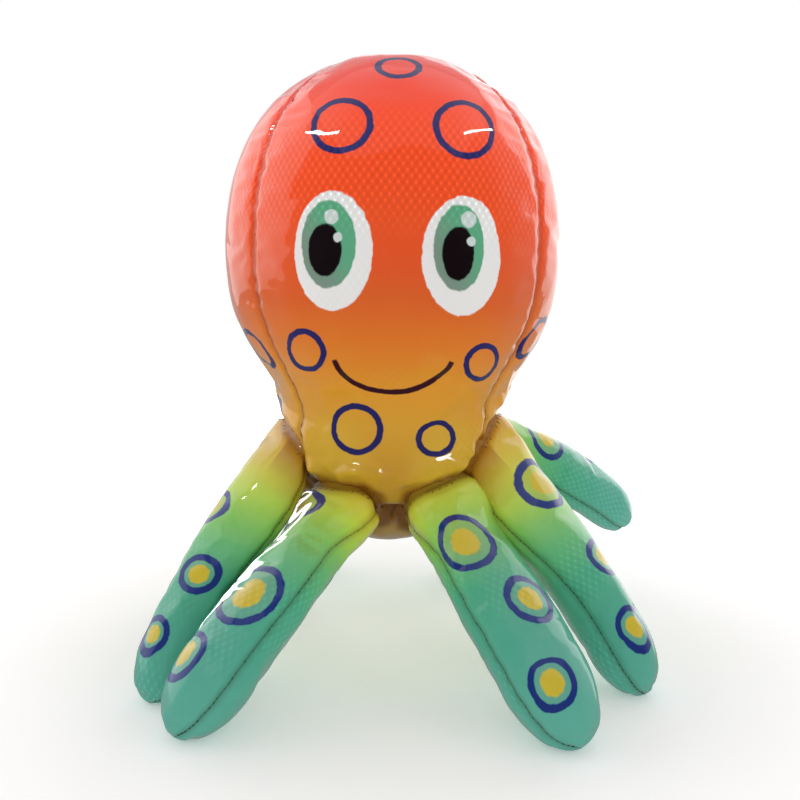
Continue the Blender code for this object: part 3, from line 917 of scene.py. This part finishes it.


# Root seams. The body's cloth is drawn in all round each arm's root and rolls over it in a lip. Near each
# root it is painted darker as shade, most between the side arms and their neighbours.
CREASE_DEPTH = 1.7 * MM  # of one root's, and of all together
ROOT_SEAM_DEPTH = 2.0 * MM
CREASE_WIDTH = 2.0 * MM
LIP_HEIGHT = 1.4 * MM
LIP_PLACE = 5 * MM
LIP_WIDTH = 2.6 * MM
LIP_CRUMPLE = 2.4 * MM
LIP_CRUMPLE_SIZES = (3.4 * MM, 1.9 * MM)
GATHERS = 16  # round one root
ROOT_SEAM_REACH = 24 * MM  # from a root's middle
ROOT_SEAM_TOP = 14 * MM  # above the neck
ROOT_SEAM_SHARE = 0.8  # how much of the root's extra width its crease goes round
# Painted shade near a side arm's root deepens where another root lies within this reach.
SHADE_SQUEEZE_REACH = 8 * MM
sewn, tucked = (head.data.attributes[kept].data for kept in ("sewn", "tucked"))
for vertex in head.data.vertices:
    rest = vertex.co - HEAD_AXIS
    if rest.z > NECK_Z + ROOT_SEAM_TOP:
        continue
    outward = Vector((rest.x, rest.y, 0)).normalized()
    move = 0.0
    near = sewn[vertex.index].value
    around = []  # how far off each root nearby is
    for name, tube in tubes.items():
        centre, side, crest = tube.spine(0)
        apart = rest - centre
        if apart.length > ROOT_SEAM_REACH:
            continue
        half_width, half_height = tube.size(0)
        left, other, top = COVERS[name][:3]
        leaned = root_twist(name, 0)
        x, y = apart.dot(side), apart.dot(crest)
        x, y = x * math.cos(leaned) + y * math.sin(leaned), y * math.cos(leaned) - x * math.sin(leaned)
        half_width += (left if x > 0 else other) * MM * ROOT_SEAM_SHARE
        half_height += top * MM * ROOT_SEAM_SHARE if y > 0 else 0
        squarer = 2 + ROOT_SQUARE
        span = (abs(x / half_width) ** squarer + abs(y / half_height) ** squarer) ** (1 / squarer)
        off = (span - 1) * (half_width + half_height) / 2
        gather = 0.75 + 0.35 * math.cos(GATHERS * math.atan2(y, x))
        if off < 0:
            move -= CREASE_DEPTH
        else:
            move -= CREASE_DEPTH * math.exp(-((off / CREASE_WIDTH) ** 2)) * gather
            if y > -half_height / 2:
                lip = math.exp(-(((off - LIP_PLACE) / LIP_WIDTH) ** 2))
                crumple, fine = (noise.noise(rest / size) for size in LIP_CRUMPLE_SIZES)
                crumple += 0.6 * fine
                move += lip * (LIP_HEIGHT + (LIP_CRUMPLE * crumple if "front" in name else 0))
        near = min(near, abs(off - TIE_LINE))
        around.append((max(off, 0), name))
    vertex.co += outward * max(move, -ROOT_SEAM_DEPTH)
    sewn[vertex.index].value = near
    # Painted shade: the body is painted darker near each root, and darker still between a side arm and its
    # neighbour.
    if around:
        around.sort()
        crowded = len(around) > 1 and "side" in around[0][1] + around[1][1]
        crowded_shade = smooth_step(around[1][0] / SHADE_SQUEEZE_REACH) if crowded else 1
        tucked[vertex.index].value = around[0][0] * 3 * crowded_shade


# Stitches. Short stitches of thread lie in the seams of the head, the hem and the arms, a little uneven
# as a machine leaves them in thick film. Those round each root pull the arm to the body.
STITCH_SIDES, STITCH_RINGS = 6, 4
# Pitch, length, thickness and height above the cloth in millimetres, and how many degrees each is turned.
SEAM_STITCH = (2.4, 1.1, 0.26, 0.02, 0)
HEM_STITCH = (2.0, 1.0, 0.26, 0.02, 0)
ARM_STITCH = (1.35, 0.8, 0.34, 0.03, 0)
ROOT_STITCH = (1.7, 1.3, 0.22, 0, 55)


def path_along(obj, indices):
    """The surface's points and outward directions at these vertices, in order."""
    return [(obj.data.vertices[i].co.copy(), obj.data.vertices[i].normal.copy()) for i in indices]


def stitch(name, paths, kind):
    """Stitches of this kind along the paths."""
    pitch, length, thickness, rise = (size * MM for size in kind[:4])
    deselect_all()
    bpy.ops.mesh.primitive_uv_sphere_add(segments=STITCH_SIDES, ring_count=STITCH_RINGS, radius=0.5)
    made = bpy.context.object
    made.name = made.data.name = name
    shape = [v.co.copy() for v in made.data.vertices]
    faces = [tuple(face.vertices) for face in made.data.polygons]
    points, sides = [], []
    for path in paths:
        gone, due = 0.0, pitch * 0.5
        for (here, outward), (there, _) in zip(path, path[1:]):
            step = (there - here).length
            while gone + step > due:
                uneven = noise.noise(here * 900)
                centre = here.lerp(there, (due - gone) / step) + outward * rise
                way = (there - here).normalized()
                way = Matrix.Rotation(math.radians(kind[4] + 16 * uneven), 3, outward) @ way
                aside = outward.cross(way).normalized()
                up = way.cross(aside)
                span = length * (1 + 0.5 * noise.noise(here * 1300))
                start = len(points)
                points += [centre + way * (v.z * span) + aside * (v.x * thickness) + up * (v.y * thickness)
                           for v in shape]
                sides += [tuple(i + start for i in face) for face in faces]
                due += pitch * (1 + 0.35 * uneven)
            gone += step
    made.data.clear_geometry()
    made.data.from_pydata(points, [], sides)
    made.data.update()
    return made


def thread(name, stops):
    """Sewing thread, tinted by its height in millimetres as the cloth it lies in."""
    made = Finish(name, {"Roughness": 0.6, "Specular IOR Level": 0.3})
    spot = made.node("ShaderNodeTexCoord", {}, {}).outputs["Object"]
    height = made.parts(spot)[2] / (160 * MM)
    tint = made.ramp(height, [(place / 160, paint(*tone)) for place, tone in stops])
    made.join(made.shader.inputs["Base Color"], tint)
    return made.made


head_thread = thread("head_thread", (
    (20, (70, 44, 24)), (50, (96, 56, 20)), (75, (150, 70, 24)), (110, (170, 34, 24)), (150, (176, 30, 50))))
arm_thread = thread("arm_thread", (
    (0, (26, 74, 60)), (35, (34, 82, 52)), (55, (80, 80, 26)), (66, (110, 84, 30))))
root_thread = thread("root_thread", ((20, (84, 66, 24)), (50, (120, 74, 30)), (70, (150, 96, 40))))
head.data.update()
at_place = {place: i for i, place in enumerate(head_places)}
first_ring = round(9 * MM / OUTLINE_LENGTH * GORE_RINGS)
hem_ring = round(HEM_ARC / OUTLINE_LENGTH * GORE_RINGS)
seam_paths = [path_along(head, [at_place[column, ring] for ring in range(first_ring, hem_ring)])
              for column in seam_columns]
hem_columns = [*range(sum(GORE_COLUMNS)), 0]
hem_path = path_along(head, [at_place[column, hem_ring] for column in hem_columns])
head_stitches = stitch("head_stitches", seam_paths, SEAM_STITCH)
hem_stitches = stitch("hem_stitches", [hem_path], HEM_STITCH)
for piece in (head_stitches, hem_stitches):
    dress(piece, head_thread)
    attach(piece, "body")

for name, tube in tubes.items():
    arm = bpy.data.objects[f"arm_{name}_cover"]
    arm.data.update()
    places = arm_places[name]
    at_place = {place: i for i, place in enumerate(places)}
    side_paths, root_path = [], []
    for column in (0, ARM_COLUMNS // 2):
        rings = [ring for ring in range(ROOT_RINGS + 5, ARM_RINGS - 2) if (column, ring) in at_place]
        side_paths.append(path_along(arm, [at_place[column, ring] for ring in rings]))
    for column in [*range(ARM_COLUMNS), 0]:
        for ring in range(ROOT_RINGS + 1, ARM_RINGS - END_RINGS):
            vertex = arm.data.vertices[at_place[column, ring]]
            spot = vertex.co - HEAD_AXIS
            if Vector((spot.x, spot.y, 0)).length > seat_radius(spot.z) + 0.2 * MM:
                root_path.append((vertex.co.copy(), vertex.normal.copy()))
                break
    seam_thread = stitch(f"arm_{name}_stitches", side_paths, ARM_STITCH)
    tie_thread = stitch(f"arm_{name}_root_stitches", [root_path], ROOT_STITCH)
    root = tube.spine(0)[0] + HEAD_AXIS
    along = tube.spine(BEND_REACH)[0] - tube.spine(0)[0]
    for piece, material in ((seam_thread, arm_thread), (tie_thread, root_thread)):
        dress(piece, material)
        tuple(root + along)
        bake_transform(piece)


# Floor and light. The toy stands on a plain pale studio sweep, which glows as painted light, faintly near
# the toy and brighter away from it, under a broad soft light, with a panel on either side and white walls
# behind. Small lamps give the head and two arms their narrow reflections.
bpy.ops.mesh.primitive_plane_add(size=6)
floor = bpy.context.object
floor.name = "studio_floor"
pale = Finish("studio_paper", {
    "Base Color": paint(245, 245, 245), "Roughness": 0.9, "Specular IOR Level": 0, "Emission Strength": 1.0})
spot = pale.node("ShaderNodeTexCoord", {}, {}).outputs["Object"]
away = pale.value("ShaderNodeVectorMath", {"operation": "LENGTH"}, {0: spot}, output=1)
# Painted light: the floor glows, faintly near the toy and almost white from about 36 cm out, so it fades
# into the backdrop.
glow = pale.ramp(away / 0.8, [(0.1, (0.25,) * 3), (0.45, (0.9,) * 3)])
pale.join(pale.shader.inputs["Emission Color"], glow)
floor.visible_glossy = False
floor.data.materials.append(pale.made)


def lamp(name, azimuth, elevation, distance, width, height, power, toward=(0, 0, 90), tilt=0):
    """An area light that faces a point, in millimetres, from an azimuth and elevation in degrees."""
    deselect_all()
    bpy.ops.object.light_add(type="AREA")
    made = bpy.context.object
    made.name = name
    made.data.shape = "RECTANGLE"
    made.data.size, made.data.size_y = width, height
    made.data.energy = power
    up = math.radians(elevation)
    away = direction(azimuth) * math.cos(up) + UP * math.sin(up)
    made.location = HEAD_AXIS + Vector(toward) * MM + away * distance
    made.rotation_mode = "QUATERNION"
    made.rotation_quaternion = away.to_track_quat("Z", "Y")
    made.rotation_quaternion @= Matrix.Rotation(math.radians(tilt), 3, "Z").to_quaternion()
    return made


def shine_only_on(made, piece):
    """Lets a lamp fall on this piece alone."""
    lit = bpy.data.collections.new(f"{made.name}_falls_on")
    lit.objects.link(piece)
    made.light_linking.receiver_collection = lit
    return lit


lamp("overhead_panel", 10, 80, 0.9, 1.5, 1.2, 2.2)
lamp("left_panel", -112, 20, 0.9, 1.2, 1.0, 2.7)
lamp("right_panel", 150, 15, 0.9, 1.2, 1.1, 3.9)
for strip in (lamp("left_strip", -72, 48, 0.15, 0.075, 0.0045, 0.032, (-15.6, -35.9, 131.6), 15),
              lamp("right_strip", 86, 46, 0.15, 0.075, 0.0045, 0.032, (18.5, -34.1, 132.4), -15)):
    shine_only_on(strip, head)
for glint in (lamp("lip_glint_left", 0, 90, 0.038, 0.03, 0.008, 0.024, (-42, -70, 42), 20),
              lamp("lip_glint_right", 0, 90, 0.038, 0.03, 0.008, 0.024, (46, -70, 42), -20)):
    shine_only_on(glint, head)
    glint.visible_camera = glint.visible_diffuse = False
for name, glint in (("front_left", lamp("back_box", -156, 4, 0.9, 0.4, 0.45, 3.2)),
                    ("side_left", lamp("side_glint", -80, 51, 0.5, 0.03, 0.045, 0.15))):
    glint.light_linking.blocker_collection = shine_only_on(glint, bpy.data.objects[f"arm_{name}_cover"])
    glint.visible_diffuse = False
for fill in (lamp("front_fill", 0, 20, 1.0, 1.0, 0.8, 2.7), lamp("left_fill", -70, 25, 1.0, 0.8, 0.8, 1.1),
             lamp("right_fill", 70, 25, 1.0, 0.8, 0.8, 1.7)):
    fill.visible_glossy = False

world = bpy.data.worlds.new("studio")
bpy.context.scene.world = world
world.use_nodes = True
studio = Nodes(world.node_tree)
backdrop = studio.tree.nodes["Background"]
look = studio.node("ShaderNodeTexCoord", {}, {}).outputs["Generated"]
_, behind, above = studio.parts(look)
walls = studio.ramp(behind * 0.5 + 0.5, [
    (0.0, (0.02,) * 3), (0.35, (0.04,) * 3), (0.62, (0.4,) * 3), (1.0, (0.8,) * 3)])
raised = studio.ramp(above * 0.5 + 0.5, [(0.4, (0.45,) * 3), (0.62, (1.0,) * 3)])
walls = studio.mix(1.0, walls, raised, "MULTIPLY")
seen = studio.node("ShaderNodeLightPath", {}, {}).outputs["Is Camera Ray"]
studio.join(backdrop.inputs["Color"], studio.mix(seen, walls, (1.0, 1.0, 1.0)))
backdrop.inputs["Strength"].default_value = 1.0
bpy.context.scene.view_settings.view_transform = "Standard"
